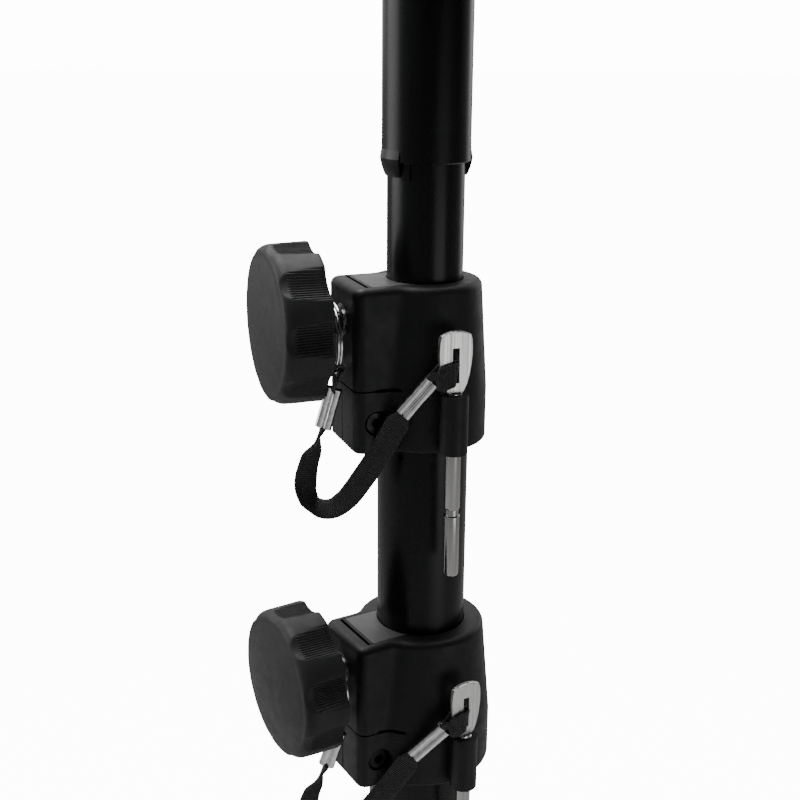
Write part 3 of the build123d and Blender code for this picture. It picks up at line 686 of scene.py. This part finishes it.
def strap(lanyard):
    """The free stretch of webbing between the two ferrules."""
    prefix = lanyard.clamp.prefix
    route = [lanyard.place(point) for point in STRAP_ROUTE]
    points = spline_points(route, f"{prefix}_route")

    def way(place, along, share):
        turn = radians(between(STRAP_TWIST, share))
        outer = along.cross(FACING).normalized()
        return outer * cos(turn) + along.cross(outer) * sin(turn)

    def width(share):
        return STRAP_WIDTH * (0.55 + 0.45 * ease(share / 0.10) * ease((1 - share) / 0.05))

    def thick(share):
        gathered = 2 - ease(share / 0.07) - ease((1 - share) / 0.05)
        return STRAP_THICKNESS * (1 + 0.9 * gathered)

    piece = band(f"{prefix}_webbing", points, way, width, thick, None)
    return piece, route, points


def ferrule(lanyard, end, mouth, top, body):
    """A crimped double barrel of thin bright sheet, open at both ends."""
    prefix = lanyard.clamp.prefix
    axis = (top - mouth).normalized()
    side = axis.cross(lanyard.level).cross(axis).normalized()
    across = side.cross(axis)
    length = (top - mouth).length
    columns = FERRULE_COLUMNS

    def section(share, shrink):
        # two round barrels side by side, with a crease where they meet
        place = mouth + axis * (length * share)
        radius = FERRULE_RADIUS - shrink + FERRULE_FLARE * crimp.get(share, 0)
        meet = asin(min(CREASE_SHARE, FERRULE_OFFSET / radius * CREASE_SHARE))
        ring = []
        for step in range(columns):
            turn = 2 * pi * (step + 0.5) / columns
            sign = 1 if cos(turn) > 0 else -1
            up = 1 if turn < pi else -1
            middle = pi if sign < 0 else (0 if turn < pi else 2 * pi)
            swing = (abs(turn - middle) / (pi / 2)) * (pi / 2 + meet)
            ring.append(
                place
                + side * sign * (FERRULE_OFFSET + radius * cos(swing))
                + across * up * radius * sin(swing)
            )
        return ring

    stations = [0, 0.02, 0.05, 0.1, 0.3, 0.42, 0.5, 0.58, 0.7, 0.9, 0.95, 0.98, 1]
    crimp = {0: 1, 0.42: -1, 0.5: -2, 0.58: -1, 1: 1}
    rings = [section(share, 0) for share in stations]
    rings += [section(share, FERRULE_WALL) for share in reversed(stations)]
    verts = [point for ring in rings for point in ring]
    faces = tube_faces(len(rings), columns)
    last = (len(rings) - 1) * columns
    faces += [(last + c, last + (c + 1) % columns, (c + 1) % columns, c) for c in range(columns)]
    name = f"{prefix}_{end}_crimp"
    piece = mesh_piece(name, verts, faces, body, "bright_steel", BRIGHT, 30)
    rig.replaces(piece, f"{prefix}_{end}_ferrule")
    return piece


def pin_eye(lanyard, top):
    """The loop of webbing from the pin's ferrule through the slot of the pin's head."""
    at = lanyard.clamp.at
    y = lanyard.pin_y
    axis = (top - lanyard.place(STRAP_ROUTE[-1])).normalized()
    controls = [
        top - axis * 1.0 * MM,
        top + axis * 1.0 * MM,
        at(7.2 * MM, y + 2.0 * MM, -34.0 * MM),
        at(4.4 * MM, y + 2.3 * MM, -32.9 * MM),
        at(1.2 * MM, y + 2.3 * MM, -32.2 * MM),
        at(-0.4 * MM, y + 1.3 * MM, -32.0 * MM),
        at(-0.4 * MM, y - 1.3 * MM, -32.0 * MM),
        at(1.5 * MM, y - 2.2 * MM, -32.0 * MM),
        at(5.0 * MM, y - 2.2 * MM, -32.6 * MM),
        at(8.2 * MM, y - 1.6 * MM, -33.8 * MM),
        top + axis * 0.8 * MM,
        top - axis * 1.0 * MM,
    ]
    points = spline_points(controls, "eye")
    wide = [(0, 0.55), (0.08, 0.62), (0.24, 1), (0.76, 1), (0.92, 0.62), (1, 0.55)]
    across = axis.cross(lanyard.clamp.side)

    def way(place, along, share):
        upright = UP * 0.97 - lanyard.clamp.out * 0.2
        if across.dot(upright) < 0:
            upright = -upright
        return across.lerp(upright, ease((min(share, 1 - share) - 0.03) / 0.15))

    def width(share):
        return STRAP_WIDTH * between(wide, share)

    def thick(share):
        return STRAP_THICKNESS

    prefix = lanyard.clamp.prefix
    return band(f"{prefix}_pin_eye", points, way, width, thick, f"{prefix}_pin")


def ring_eye(lanyard, top, body):
    """The loop of webbing from the ring's ferrule round the split ring's wire."""
    at = lanyard.clamp.at
    x, z = lanyard.ring_x, lanyard.ring_z
    y = 9.2 * MM
    wire_z = z - sqrt(RING_RADIUS**2 - y * y)
    axis = (top - lanyard.place(STRAP_ROUTE[0])).normalized()
    controls = [
        top - axis * 1.0 * MM,
        top + axis * 1.0 * MM,
        at(x + 0.5 * MM, y + 0.1 * MM, wire_z - 4.8 * MM),
        at(x + 0.6 * MM, y + 0.2 * MM, wire_z - 2.8 * MM),
        at(x + 1.9 * MM, y + 0.4 * MM, wire_z - 0.4 * MM),
        at(x + 1.2 * MM, y + 1.0 * MM, wire_z + 1.7 * MM),
        at(x - 1.9 * MM, y + 1.0 * MM, wire_z + 1.7 * MM),
        at(x - 2.5 * MM, y + 0.4 * MM, wire_z - 0.4 * MM),
        at(x - 1.05 * MM, y + 0.2 * MM, wire_z - 2.8 * MM),
        at(x - 0.75 * MM, y + 0.1 * MM, wire_z - 4.8 * MM),
        top + axis * 1.0 * MM,
        top - axis * 1.0 * MM,
    ]
    points = spline_points(controls, "eye")
    tangent = lanyard.clamp.out * 0.25 + lanyard.clamp.side * 0.85 + UP * 0.42

    def way(place, along, share):
        return tangent

    def width(share):
        return STRAP_WIDTH * (0.46 + 0.1 * ease((0.5 - abs(share - 0.5)) / 0.2))

    def thick(share):
        return STRAP_THICKNESS * (1 + 0.25 * ease((0.5 - abs(share - 0.5)) / 0.3))

    prefix = lanyard.clamp.prefix
    return band(f"{prefix}_ring_eye", points, way, width, thick, body)


def split_ring(lanyard, body):
    """Two turns of flattened wire, sprung together, with their ends lying alongside."""
    clamp = lanyard.clamp
    rings = []
    for step in range(COIL_STEPS + 1):
        share = step / COIL_STEPS
        angle = COIL_START + 2 * pi * COIL_TURNS * share
        spoke = clamp.side * cos(angle) + UP * sin(angle)
        shift = (share - 0.5) * COIL_TURNS * COIL_PITCH - COIL_HALF_WIDTH
        centre = clamp.at(lanyard.ring_x + shift, 0, lanyard.ring_z) + spoke * RING_RADIUS
        taper = 1 - 0.5 * (1 - ease(min(share, 1 - share) / 0.012))
        ring = []
        for corner in range(COIL_CORNERS):
            turn = 2 * pi * corner / COIL_CORNERS
            u = signed_power(cos(turn), 0.6) * COIL_HALF_WIDTH * taper
            v = signed_power(sin(turn), 0.6) * COIL_HALF_HEIGHT * taper
            ring.append(centre + clamp.out * u + spoke * v)
        rings.append(ring)
    name = f"{clamp.prefix}_double_ring"
    piece = loft(name, rings, body, "bright_steel", BRIGHT, 50)
    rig.replaces(piece, f"{clamp.prefix}_split_ring")


PADDLE_EDGE = [  # outline of the pin's flat head, right half from the top, in millimetres
    (0, -15.2), (2.2, -15.3), (4.4, -15.8), (6.3, -16.9), (6.8, -18.6), (7.0, -21.5), (7.0, -25.0),
    (6.6, -29.0), (5.9, -33.0), (5.0, -36.2), (3.9, -38.6), (3.1, -40.1),
]
PADDLE_THICKNESS = 2.2 * MM
PADDLE_ROUND = 0.3  # the round along its edges, in millimetres
SLOT_HALF, SLOT_TOP, SLOT_BOTTOM = 1.3, -22.0, -35.6
SHANK_COLUMNS = 48
# height and radius of the pin's shank, in millimetres
SHANK = [
    (-39.6, 2.3), (-40.1, 3.05), (-87.7, 3.1), (-88.1, 3.0), (-88.5, 2.62), (-91.2, 2.62),
    (-91.3, 3.3), (-91.9, 3.3), (-92.0, 3.1), (-116.0, 3.1), (-116.7, 2.98), (-117.3, 2.65),
    (-117.7, 2.1), (-117.8, 1.0),
]


def outline_spline(data, points):
    """A closed polygon of (x, y) points added to a flat curve."""
    spline = data.splines.new("POLY")
    spline.points.add(len(points) - 1)
    for point, (x, y) in zip(spline.points, points):
        point.co = (x * MM, y * MM, 0, 1)
    spline.use_cyclic_u = True


def lock_pin(lanyard):
    """The lock pin: a flattened, slotted head with stamped edges on a turned shank."""
    clamp = lanyard.clamp
    data = bpy.data.curves.new("paddle", "CURVE")
    data.dimensions = "2D"
    data.fill_mode = "BOTH"
    data.bevel_depth = PADDLE_ROUND * MM
    data.bevel_resolution = 2
    data.extrude = PADDLE_THICKNESS / 2 - data.bevel_depth
    inset = [(max(x - PADDLE_ROUND, 0), y - PADDLE_ROUND if y > -16 else y) for x, y in PADDLE_EDGE]
    left = [(-x, y) for x, y in reversed(inset) if x > 0]
    outline_spline(data, inset + left)
    hole = SLOT_HALF + PADDLE_ROUND
    above, below = SLOT_TOP + PADDLE_ROUND, SLOT_BOTTOM - PADDLE_ROUND
    outline_spline(data, [(hole, above), (-hole, above), (-hole, below), (hole, below)])
    curve = bpy.data.objects.new("paddle", data)
    bpy.context.scene.collection.objects.link(curve)
    flat = bpy.data.meshes.new_from_object(curve)
    verts = [
        clamp.at(-v.co.x, lanyard.pin_y + v.co.z, v.co.y) for v in flat.vertices
    ]
    faces = [tuple(face.vertices) for face in flat.polygons]
    bpy.data.objects.remove(curve)
    bpy.data.meshes.remove(flat)
    columns = SHANK_COLUMNS
    start = len(verts)
    for height, radius in SHANK:
        for step in range(columns):
            turn = 2 * pi * step / columns
            x, y = radius * MM * cos(turn), lanyard.pin_y + radius * MM * sin(turn)
            verts.append(clamp.at(x, y, height * MM))
    head = len(faces)  # the faces from here on are the turned shank's
    faces += [tuple(start + v for v in face) for face in tube_faces(len(SHANK), columns)]
    for ring, height in ((0, SHANK[0][0] + 0.2), (len(SHANK) - 1, SHANK[-1][0] - 0.2)):
        verts.append(clamp.at(0, lanyard.pin_y, height * MM))
        first = start + ring * columns
        tip = len(verts) - 1
        faces += [(first + step, first + (step + 1) % columns, tip) for step in range(columns)]
    name = f"{clamp.prefix}_slotted_pin"
    piece = mesh_piece(name, verts, faces, f"{clamp.prefix}_pin", "nickel", NICKEL, 32)
    piece.data.materials.append(TURNED)
    for face in piece.data.polygons[head:]:
        face.material_index = 1
    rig.replaces(piece, f"{clamp.prefix}_lock_pin")


HOSTS = {"upper": "middle_mast", "lower": "lower_mast"}
STILL_SHARE = 0.06  # how far along the strap's plane the ring's side reaches
for prefix, host in HOSTS.items():
    lanyard = Lanyard(CLAMPS[prefix])
    webbing, route, followed = strap(lanyard)
    ring_top = lanyard.place(RING_FERRULE_TOP)
    pin_top = lanyard.place(PIN_FERRULE_TOP)
    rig.replaces(webbing, f"{prefix}_strap")
    # the ring's side of the loop stays below the knob while the pin is drawn
    still = lanyard.place((STILL_SHARE, STRAP_ROUTE[-1][1]))
    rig.blend(webbing, host, f"{prefix}_pin", start=still, end=route[-1])
    on_strap = [
        ferrule(lanyard, "ring", route[0], ring_top, host),
        ferrule(lanyard, "pin", route[-1], pin_top, f"{prefix}_pin"),
        ring_eye(lanyard, ring_top, host),
        pin_eye(lanyard, pin_top),
    ]
    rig.cord(
        webbing, exit=route[0], length=STRAP_LENGTHS[prefix], diameter=STRAP_WIDTH,
        far_end="object", stiffness="limp", lay="hanging", path=followed, with_pieces=on_strap,
    )
    split_ring(lanyard, host)
    lock_pin(lanyard)

# --- studio ---------------------------------------------------------------------------
WHITE = 14.0  # strength that the camera sees as a white backdrop
FRONT_STRENGTH = 0.034
BACK_STRENGTH = 0.95
LEFT_STRENGTH = 0.42
FLOOR_REACH = 40
FLOOR_GREYS = (0.60, 0.62)
LIT_POINT = (0, 0, 1.1)  # between the two mast clamps


def floor():
    """A plain pale floor."""
    edges = (-FLOOR_REACH, FLOOR_REACH)
    verts = [(x, y, 0) for x in edges for y in edges]
    mesh = bpy.data.meshes.new("floor")
    mesh.from_pydata(verts, [], [(0, 2, 3, 1)])
    piece = bpy.data.objects.new("floor", mesh)
    bpy.context.scene.collection.objects.link(piece)
    material, shader = new_material("floor_pale")
    pale = ramp(material, noise(material, 3, 2), *FLOOR_GREYS)
    material.node_tree.links.new(pale, shader.inputs["Base Color"])
    shader.inputs["Roughness"].default_value = 0.9
    shader.inputs["Emission Color"].default_value = (1, 1, 1, 1)
    nodes, links = material.node_tree.nodes, material.node_tree.links
    path = nodes.new("ShaderNodeLightPath")
    glow = nodes.new("ShaderNodeMath")
    glow.operation = "MULTIPLY"
    glow.inputs[1].default_value = WHITE - 1
    links.new(path.outputs["Is Camera Ray"], glow.inputs[0])
    links.new(glow.outputs[0], shader.inputs["Emission Strength"])
    mesh.materials.append(material)
    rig.stage(piece)


def softbox(name, place, target, width, height, power):
    """A rectangular soft light aimed at a point."""
    data = bpy.data.lights.new(name, "AREA")
    data.shape = "RECTANGLE"
    data.size = width
    data.size_y = height
    data.energy = power
    light = bpy.data.objects.new(name, data)
    light.location = place
    aim = Vector(target) - Vector(place)
    light.rotation_euler = aim.to_track_quat("-Z", "Y").to_euler()
    bpy.context.scene.collection.objects.link(light)


def surroundings():
    """White to the camera; in reflections bright behind the stand and dim in front."""
    world = bpy.data.worlds.new("studio")
    bpy.context.scene.world = world
    world.use_nodes = True
    nodes, links = world.node_tree.nodes, world.node_tree.links
    nodes.clear()
    output = nodes.new("ShaderNodeOutputWorld")
    place = nodes.new("ShaderNodeTexCoord")
    split = nodes.new("ShaderNodeSeparateXYZ")
    links.new(place.outputs["Generated"], split.inputs[0])
    behind = nodes.new("ShaderNodeMapRange")
    behind.interpolation_type = "SMOOTHSTEP"
    behind.inputs["From Min"].default_value = -0.15
    behind.inputs["From Max"].default_value = 1.0
    behind.inputs["To Min"].default_value = FRONT_STRENGTH
    behind.inputs["To Max"].default_value = BACK_STRENGTH
    links.new(split.outputs["Y"], behind.inputs["Value"])
    beside = nodes.new("ShaderNodeMapRange")
    beside.inputs["From Min"].default_value = -0.2
    beside.inputs["From Max"].default_value = -1.0
    beside.inputs["To Min"].default_value = 0
    beside.inputs["To Max"].default_value = LEFT_STRENGTH
    links.new(split.outputs["X"], beside.inputs["Value"])
    total = nodes.new("ShaderNodeMath")
    total.operation = "ADD"
    links.new(behind.outputs[0], total.inputs[0])
    links.new(beside.outputs[0], total.inputs[1])
    lit = nodes.new("ShaderNodeBackground")
    links.new(total.outputs[0], lit.inputs["Strength"])
    seen = nodes.new("ShaderNodeBackground")
    seen.inputs["Strength"].default_value = WHITE
    seen.inputs["Color"].default_value = (1, 1, 1, 1)
    path = nodes.new("ShaderNodeLightPath")
    mix = nodes.new("ShaderNodeMixShader")
    links.new(path.outputs["Is Camera Ray"], mix.inputs["Fac"])
    links.new(lit.outputs[0], mix.inputs[1])
    links.new(seen.outputs[0], mix.inputs[2])
    links.new(mix.outputs[0], output.inputs[0])


floor()
surroundings()
softbox("left_softbox", (-1.7, 0.25, 1.5), LIT_POINT, 1.2, 1.4, 15.7)
softbox("back_softbox", (1.2, 1.3, 1.4), LIT_POINT, 0.7, 1.6, 4.5)
softbox("top_softbox", (-0.3, 0.5, 2.9), LIT_POINT, 1.6, 1.6, 66)
softbox("low_panel", (1.7, -1.8, 0.4), (0, 0, 1.05), 1.4, 0.9, 6.5)

visual_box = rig.bounds()
with open("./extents.json", "w") as size_file:
    sizes = {"cad": [list(corner) for corner in cad_box]}
    sizes["visual"] = [list(corner) for corner in visual_box]
    json.dump(sizes, size_file)
